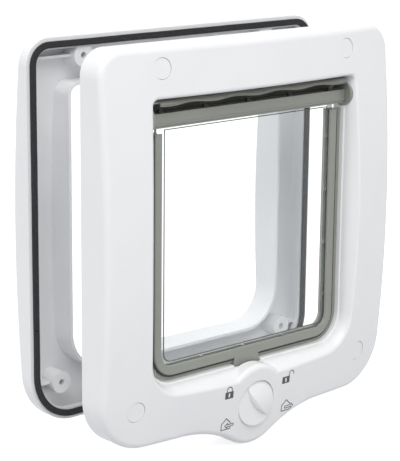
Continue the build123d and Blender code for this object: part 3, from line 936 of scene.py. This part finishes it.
@dataclass
class Flap:
    """Swinging flap with its hooded bar, clear panel, trims and soft strip."""

    strip_radius: float = 11.6
    strip_thickness: float = 0.8
    strip_start_deg: float = 118.0
    strip_columns: int = 321
    strip_rows: int = 7
    edge_rise: float = 9.3
    edge_dip: float = 1.0
    edge_bead_radius: float = 0.5
    edge_bead_sides: int = 12
    ribs_each_side: int = 2
    rib_end_inset: float = 10.6
    # Sizes and place of the dark blocks beside the ribs: painted shade, standing for the black shadow
    # left of each rib.
    shadow_block_size: tuple[float, float, float] = (2.2, 1.8, 1.8)
    shadow_block_from_rib: float = -1.9
    shadow_block_depth_from_axis: float = -0.6
    shadow_block_rise_from_axis: float = 3.9
    border: EdgeLine = EdgeLine(
        node="flap_panel",
        side=-6.1,
        bottom=-6.7,
        top=-4.4,
        ahead=0.05,
        corner=6.0,
        radius=0.42,
        closed=True,
    )
    # The line along the outside of the rear trim is dark: painted shade, standing for the dark gap under
    # and beside the flap's trim.
    bead: EdgeLine = EdgeLine(
        node="flap_trim_rear",
        side=2.5,
        bottom=2.5,
        top=-0.7,
        ahead=2.4,
        corner=15.6,
        radius=0.6,
        closed=False,
    )
    line_sides: int = 8
    # Gap and thickness of the pale sheets at the panel's sides, which are partly a painted highlight.
    pale_edge_gap: float = 0.04
    pale_edge_thickness: float = 0.12

    def rib_pitch(self) -> float:
        """Spacing of the ribs, worked out from the length of the bar."""
        return (box_mm("hinge_bar")[1].x - self.rib_end_inset) / self.ribs_each_side

    def edge_turn(self, shape: ShapeTree, along: NodeSocket) -> Node:
        """Angle of the strip's wavy edge round the hinge axis.

        Args:
            shape: Tree of the strip.
            along: Place along the bar.

        Returns:
            A node with the angle from outdoors upwards.
        """
        waves = shape.add(MATH, {"operation": "DIVIDE"}, along, shape.size("Rib Pitch"))
        turn = shape.add(MATH, {"operation": "MULTIPLY"}, waves, FULL_TURN)
        wave = shape.add(MATH, {"operation": "COSINE"}, turn)
        swing, level = shape.size("Edge Swing"), shape.size("Edge Level")
        rise = shape.add(MATH, {"operation": "MULTIPLY_ADD"}, wave, swing, level)
        sine = shape.add(MATH, {"operation": "DIVIDE"}, rise, shape.size("Radius"))
        slope = shape.add(MATH, {"operation": "ARCSINE"}, sine)
        return shape.add(MATH, {"operation": "SUBTRACT"}, math.pi, slope)

    def round_axis(self, shape: ShapeTree, along: NodeSocket, radius: Feed, turn: Feed) -> Node:
        """Place at an angle round the hinge axis.

        Args:
            shape: Tree of the strip.
            along: Place along the bar.
            radius: Distance from the axis.
            turn: Angle from outdoors upwards.

        Returns:
            A node with the place.
        """
        axis = axis_mm(Joint.HINGE)
        outdoors = shape.add(MATH, {"operation": "COSINE"}, turn)
        depth = shape.add(MATH, {"operation": "MULTIPLY_ADD"}, outdoors, radius, axis.y * MM)
        upwards = shape.add(MATH, {"operation": "SINE"}, turn)
        level = shape.add(MATH, {"operation": "MULTIPLY_ADD"}, upwards, radius, axis.z * MM)
        return shape.add("ShaderNodeCombineXYZ", X=along, Y=depth, Z=level)

    def soft_strip(self, rubber_and_shade: Material) -> Object:
        """Makes the soft edge of the hood, with a bead that comes lower at each rib.

        Args:
            rubber_and_shade: Material of the strip.

        Returns:
            The strip as one piece.
        """
        span = box_mm("draught_strip")[1].x
        shape = ShapeTree(
            "wavy_strip",
            {
                "Length": 2 * span,
                "Radius": self.strip_radius,
                "Thickness": self.strip_thickness,
                "Edge Level": self.edge_rise - self.edge_dip / 2,
                "Edge Swing": -self.edge_dip / 2,
                "Rib Pitch": self.rib_pitch(),
                "Bead Course": self.strip_radius - self.strip_thickness / 2,
                "Bead Radius": self.edge_bead_radius,
            },
        )
        grid_height = 1.0
        grid = shape.add(
            "GeometryNodeMeshGrid",
            Size_X=shape.size("Length"),
            Size_Y=grid_height,
            Vertices_X=self.strip_columns,
            Vertices_Y=self.strip_rows,
        )
        flat = shape.add("ShaderNodeSeparateXYZ", Vector=shape.add("GeometryNodeInputPosition"))
        along = flat.outputs["X"]
        share = shape.add(MATH, {"operation": "ADD"}, flat.outputs["Y"], grid_height / 2)
        edge = self.edge_turn(shape, along)
        start = math.radians(self.strip_start_deg)
        reach = shape.add(MATH, {"operation": "SUBTRACT"}, edge, start)
        turn = shape.add(MATH, {"operation": "MULTIPLY_ADD"}, share, reach, start)
        bent = self.round_axis(shape, along, shape.size("Radius"), turn)
        outside = shape.add("GeometryNodeSetPosition", Geometry=grid, Position=bent)
        inside = shape.add(
            "GeometryNodeExtrudeMesh",
            {"mode": "FACES"},
            Mesh=shape.add("GeometryNodeFlipFaces", Mesh=outside),
            Offset_Scale=shape.size("Thickness"),
            Individual=False,
        )
        line = shape.add(
            "GeometryNodeCurvePrimitiveLine",
            Start=(-span * MM, 0.0, 0.0),
            End=(span * MM, 0.0, 0.0),
        )
        fine = shape.add("GeometryNodeResampleCurve", Curve=line, Count=self.strip_columns)
        on_edge = self.round_axis(shape, along, shape.size("Bead Course"), edge)
        wave = shape.add("GeometryNodeSetPosition", Geometry=fine, Position=on_edge)
        bead = shape.tube(wave, shape.size("Bead Radius"), self.edge_bead_sides)
        shape.finish(shape.weld(inside, outside, bead), rubber_and_shade)
        return shape.run("soft_strip", bpy.data.meshes.new("strip_start"))

    def blocks(
        self, name: str, size: Vector, first: Vector, spacing: float, count: int, material: Material
    ) -> Object:
        """Makes a row of equal blocks across the flap.

        Args:
            name: Name of the piece.
            size: Sides of a block.
            first: Middle of the leftmost block.
            spacing: Distance from one block to the next.
            count: Number of blocks.
            material: What they are made of.

        Returns:
            The blocks as one piece.
        """
        shape = ShapeTree(f"{name}_row", {"Spacing": spacing})
        line = shape.add(
            "GeometryNodeMeshLine",
            Count=count,
            Start_Location=first * MM,
            Offset=shape.add("ShaderNodeCombineXYZ", X=shape.size("Spacing")),
        )
        block = shape.add("GeometryNodeMeshCube", Size=size * MM)
        placed = shape.add("GeometryNodeInstanceOnPoints", Points=line, Instance=block)
        shape.finish(placed, material)
        return shape.run(name, bpy.data.meshes.new(f"{name}_start"))

    def shadow_blocks(self, rubber_and_shade: Material) -> Object:
        """Makes the small dark blocks beside the ribs under the hood: painted shade, for the black shadow
        beside each rib.

        Args:
            rubber_and_shade: Material of the blocks, a black of painted shade.

        Returns:
            The stops as one piece.
        """
        axis = axis_mm(Joint.HINGE)
        pitch = self.rib_pitch()
        across = self.shadow_block_from_rib - self.ribs_each_side * pitch
        first = Vector((across, axis.y + self.shadow_block_depth_from_axis, axis.z + self.shadow_block_rise_from_axis))
        count = 2 * self.ribs_each_side + 1
        return self.blocks("rib_shadow_blocks", Vector(self.shadow_block_size), first, pitch, count, rubber_and_shade)

    def cut_edge_highlights(self, sawn_highlight: Material) -> Object:
        """Lays thin pale sheets at the two side edges of the clear panel: partly their saw-cut, frosted
        finish, partly a painted highlight.

        Args:
            sawn_highlight: Material of the sheets, frosted finish and painted highlight in one.

        Returns:
            Both edges as one piece.
        """
        low, high = box_mm("flap_panel")
        out = high.x + self.pale_edge_gap + self.pale_edge_thickness / 2
        size = Vector((self.pale_edge_thickness, high.y - low.y, high.z - low.z))
        left = Vector((-out, (low.y + high.y) / 2, (low.z + high.z) / 2))
        return self.blocks("panel_cut_edge_highlights", size, left, 2 * out, 2, sawn_highlight)

    def round_line(self, name: str, edge: EdgeLine, material: Material) -> Object:
        """Lays a round line along the outline of the flap.

        Args:
            name: Name of the piece.
            edge: Course and thickness of the line.
            material: Material of the line.

        Returns:
            The line as one piece.
        """
        low, high = box_mm(edge.node)
        sizes = {"Line Radius": edge.radius, "Line Depth": low.y - edge.ahead}
        shape = ShapeTree(f"{name}_course", sizes)
        curve = shape.add("GeometryNodeMeshToCurve", Mesh=shape.size("Geometry"))
        tube = shape.tube(curve, shape.size("Line Radius"), self.line_sides)
        shape.finish(shape.stand(tube, shape.size("Line Depth")), material)
        half, bottom, top = high.x + edge.side, low.z - edge.bottom, high.z + edge.top
        turn = edge.corner
        path = [(-half, top)]
        path += arc((-half + turn, bottom + turn), turn, 180, 270)
        path += arc((half - turn, bottom + turn), turn, 270, 360)
        path.append((half, top))
        return shape.run(name, loops_mesh(f"{name}_path", [path], closed=edge.closed))

    def build(self, grey: Material, steel: Material, ferrite: Material) -> list[Object]:
        """Dresses the solids and adds the strip, the dark blocks and line of painted shade, the panel's
        border line, and pale side edges that are partly a saw-cut finish and partly a painted highlight.

        Args:
            grey: Material of the bar and the trims.
            steel: Material of the axle.
            ferrite: Material of the magnet.

        Returns:
            The solids and the added pieces.
        """
        pieces = dress(grey, "hinge_bar", "flap_trim_front", "flap_trim_rear")
        pieces += dress(steel, "hinge_axle")
        pieces += dress(CLEAR_PC.make(), "flap_panel")
        pieces += dress(ferrite, "flap_magnet")
        strip = self.soft_strip(SOFT_TPE.make())
        pieces.append(settle(strip, Body.FLAP, Slot.STRIP, "draught_strip"))
        # Painted shade: one matt black for the blocks beside the ribs and the line along the rear trim.
        rubber_and_shade = PAINTED_SHADE_BLACK.make()
        added = [
            self.shadow_blocks(rubber_and_shade),
            self.round_line("panel_border", self.border, PANEL_EDGE.make()),
            self.round_line("trim_shadow_line", self.bead, rubber_and_shade),
            self.cut_edge_highlights(SAWN_EDGE_HIGHLIGHT.make()),
        ]
        return pieces + [settle(piece, Body.FLAP) for piece in added]


@dataclass
class Lock:
    """Knob, cam and the small metal parts between them."""

    def build(self, white: Material, steel: Material) -> list[Object]:
        """Dresses the knob and the cam in white, and the screw and the washer in steel."""
        return dress(white, "lock_knob", "lock_cam") + dress(steel, "knob_screw", "spring_washer")


@dataclass
class OutdoorHalf:
    """Outdoor frame with the foam strip that seals it against the door."""

    foam_width: float = 4.0
    foam_corner: float = 0.5
    foam_corner_steps: int = 4
    top_radius: float = 11.9
    top_steps: int = 16
    bottom_radius: float = 27.9
    bottom_steps: int = 24
    joint_level: float = -64.0
    joint_gap: float = 0.5
    sway: float = 0.35
    sway_length: float = 22.0
    sway_detail: float = 2.0
    point_spacing: float = 1.5

    def seal_path(self) -> Loop:
        """Draws the middle line of the foam, from its joint all the way round.

        Returns:
            Points of the line.
        """
        low, high = box_mm("foam_seal")
        inset = self.foam_width / 2
        side, bottom, top = high.x - inset, low.z + inset, high.z - inset
        wide, tight = self.bottom_radius, self.top_radius
        path: Loop = [(-side, self.joint_level - self.joint_gap / 2)]
        path += arc((-side + wide, bottom + wide), wide, 180, 270, self.bottom_steps)
        path += arc((side - wide, bottom + wide), wide, 270, 360, self.bottom_steps)
        path += arc((side - tight, top - tight), tight, 0, 90, self.top_steps)
        path += arc((-side + tight, top - tight), tight, 90, 180, self.top_steps)
        path.append((-side, self.joint_level + self.joint_gap / 2))
        return path

    def seal(self, foam: Material) -> Object:
        """Lays the foam strip along the rim, a little uneven as it is stuck on by hand.

        Args:
            foam: Material of the strip.

        Returns:
            The strip as one piece.
        """
        low, high = box_mm("foam_seal")
        shape = ShapeTree(
            "strip_along_rim",
            {
                "Foam Width": self.foam_width,
                "Foam Thickness": high.y - low.y,
                "Foam Middle": (low.y + high.y) / 2,
                "Corner": self.foam_corner,
                "Sway": self.sway,
                "Point Spacing": self.point_spacing,
            },
        )
        curve = shape.add("GeometryNodeMeshToCurve", Mesh=shape.size("Geometry"))
        spacing = shape.size("Point Spacing")
        even = shape.add("GeometryNodeResampleCurve", {"mode": "LENGTH"}, Curve=curve, Length=spacing)
        scale = per_metre(self.sway_length)
        noise = shape.add("ShaderNodeTexNoise", Scale=scale, Detail=self.sway_detail)
        colour = noise.outputs["Color"]
        centred = shape.add("ShaderNodeVectorMath", {"operation": "SUBTRACT"}, colour, NOISE_MIDDLE)
        pushed = shape.add(
            "ShaderNodeVectorMath", {"operation": "SCALE"}, centred, Scale=shape.size("Sway")
        )
        parts = shape.add("ShaderNodeSeparateXYZ", Vector=pushed)
        level = shape.add("ShaderNodeCombineXYZ", X=parts.outputs["X"], Y=parts.outputs["Y"])
        swayed = shape.add("GeometryNodeSetPosition", Geometry=even, Offset=level)
        upright = shape.add("GeometryNodeSetCurveNormal", {"mode": "Z_UP"}, Curve=swayed)
        section = shape.add(
            "GeometryNodeCurvePrimitiveQuadrilateral",
            Width=shape.size("Foam Width"),
            Height=shape.size("Foam Thickness"),
        )
        rounded = shape.add(
            "GeometryNodeFilletCurve",
            {"mode": "POLY"},
            Curve=section,
            Count=self.foam_corner_steps,
            Radius=shape.size("Corner"),
        )
        strip = shape.add("GeometryNodeCurveToMesh", Curve=upright, Profile_Curve=rounded, Fill_Caps=True)
        shape.finish(shape.stand(strip, shape.size("Foam Middle")), foam)
        return shape.run("foam_strip", loops_mesh("rim_line", [self.seal_path()], closed=False))

    def build(self, white: Material) -> list[Object]:
        """Dresses the outdoor frame and lays the foam.

        Args:
            white: Material of the shell.

        Returns:
            The frame and the foam strip.
        """
        foam = self.seal(BLACK_FOAM.make())
        return dress(white, "rear_frame") + [settle(foam, Body.FRAME, Slot.FOAM, "foam_seal")]


@dataclass
class Studio:
    """Pale floor, even light and the camera at the photograph's viewing angle.

    Places and sizes are in metres, the lens and the sensor in millimetres.
    """

    camera_place: tuple[float, float, float] = (-0.686872, -0.742928, 0.234585)
    camera_turn_deg: tuple[float, float, float] = (76.4421, -0.5409, -41.4974)
    camera_near: float = 0.05
    lens: float = 129.83
    sensor: float = 36.0
    floor_half: float = 12.0
    floor_colour: str = "#B9BABC"
    floor_lift: float = 0.8
    sky_left: float = 0.78
    sky_right: float = 0.84
    sky_front: float = 0.66
    sky_back: float = 1.66
    sky_up: float = 0.66
    sky_down: float = 0.5
    sky_shown: float = 1.0
    lamp_place: tuple[float, float, float] = (-0.9, -1.3, 1.9)
    lamp_size: float = 1.8
    lamp_watts: float = 34.0

    def shown_ray(self, tree: NodeTree) -> Feed:
        """Whether a ray comes from the camera, a reflection or clear plastic.

        Args:
            tree: Tree of the floor or the world.

        Returns:
            A node with 1 for such rays and 0 for others.
        """
        path = add_node(tree, "ShaderNodeLightPath")
        seen: Feed = path.outputs["Is Camera Ray"]
        for other in ("Is Glossy Ray", "Is Transmission Ray"):
            seen = add_node(tree, MATH, {"operation": "MAXIMUM"}, {0: seen, 1: path.outputs[other]})
        return seen

    def floor(self) -> None:
        """Lays the floor, which is white to the eye and keeps the shadow."""
        level = CAD_BOX[0].z
        around = ((-1, -1), (1, -1), (1, 1), (-1, 1))
        corners = [(self.floor_half * x, self.floor_half * y, level) for x, y in around]
        mesh = bpy.data.meshes.new("floor")
        mesh.from_pydata(corners, [], [range(len(corners))])
        material, tree = new_material("pale floor")
        matt = add_node(tree, "ShaderNodeBsdfDiffuse", Color=linear(self.floor_colour))
        shown = self.shown_ray(tree)
        strength = add_node(tree, MATH, {"operation": "MULTIPLY"}, {0: shown, 1: self.floor_lift})
        glow = add_node(tree, "ShaderNodeEmission", Strength=strength)
        both = add_node(tree, "ShaderNodeAddShader", None, {0: matt, 1: glow})
        add_node(tree, "ShaderNodeOutputMaterial", Surface=both)
        mesh.materials.append(material)
        floor = put("floor", mesh)

    def sky(self) -> None:
        """Lights the scene softly from six sides, and is white to the eye."""
        world = bpy.data.worlds.new("even sky")
        world.use_nodes = True
        tree = world.node_tree
        tree.nodes.clear()
        place = add_node(tree, "ShaderNodeTexCoord").outputs["Generated"]
        toward = add_node(tree, "ShaderNodeSeparateXYZ", Vector=place)
        sides = {
            "X": (self.sky_left, self.sky_right),
            "Y": (self.sky_front, self.sky_back),
            "Z": (self.sky_down, self.sky_up),
        }
        light: Feed = 0.0
        for axis, (behind, ahead) in sides.items():
            along = toward.outputs[axis]
            sign = add_node(tree, MATH, {"operation": "GREATER_THAN"}, {0: along, 1: 0.0})
            side = add_node(tree, "ShaderNodeMapRange", Value=sign, To_Min=behind, To_Max=ahead)
            square = add_node(tree, MATH, {"operation": "MULTIPLY"}, {0: along, 1: along})
            terms = {0: square, 1: side, 2: light}
            light = add_node(tree, MATH, {"operation": "MULTIPLY_ADD"}, terms)
        shown = self.shown_ray(tree)
        blend = {MIX_FACTOR: shown, NUMBER_FIRST: light, NUMBER_SECOND: self.sky_shown}
        strength = add_node(tree, "ShaderNodeMix", {"data_type": "FLOAT"}, blend)
        glow = add_node(tree, "ShaderNodeBackground", Color=WHITE, Strength=strength)
        add_node(tree, "ShaderNodeOutputWorld", Surface=glow)
        bpy.context.scene.world = world

    def lamp(self) -> None:
        """Hangs one large soft lamp in front of the part and above it."""
        data = bpy.data.lights.new("soft lamp", "AREA")
        data.shape = "DISK"
        data.size = self.lamp_size
        data.energy = self.lamp_watts
        lamp = put("soft lamp", data)
        lamp.location = self.lamp_place
        lamp.rotation_euler = (-Vector(self.lamp_place)).to_track_quat("-Z", "Y").to_euler()

    def camera(self) -> None:
        """Sets up the camera."""
        data = bpy.data.cameras.new("camera")
        data.lens = self.lens
        data.sensor_width = self.sensor
        data.clip_start = self.camera_near
        camera = put("camera", data)
        camera.location = self.camera_place
        camera.rotation_euler = Euler([math.radians(a) for a in self.camera_turn_deg], "XYZ")
        bpy.context.scene.camera = camera

    def build(self) -> None:
        """Sets up the stage."""
        bpy.context.scene.view_settings.view_transform = "Standard"
        self.floor()
        self.sky()
        self.lamp()
        self.camera()


def note_sizes() -> None:
    """Updates the view layer."""
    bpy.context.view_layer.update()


def main() -> None:
    """Builds the sub-assemblies in order, reports each piece, and sets up the stage."""
    logging.basicConfig(level=logging.INFO, format="%(name)s: %(message)s")
    white = WHITE_ABS.make()
    grey = SMOKE_ABS.make()
    steel = ZINC_STEEL.make()
    ferrite = FERRITE.make()
    built = {
        "room half": RoomHalf().build(white, grey, ferrite),
        "flap": Flap().build(grey, steel, ferrite),
        "lock": Lock().build(white, steel),
        "outdoor half": OutdoorHalf().build(white),
    }
    for title, pieces in built.items():
        for piece in pieces:
            LOG.info("%s: %s, %d faces", title, piece.name, len(piece.data.polygons))
    Studio().build()
    note_sizes()


if __name__ == "__main__":
    main()
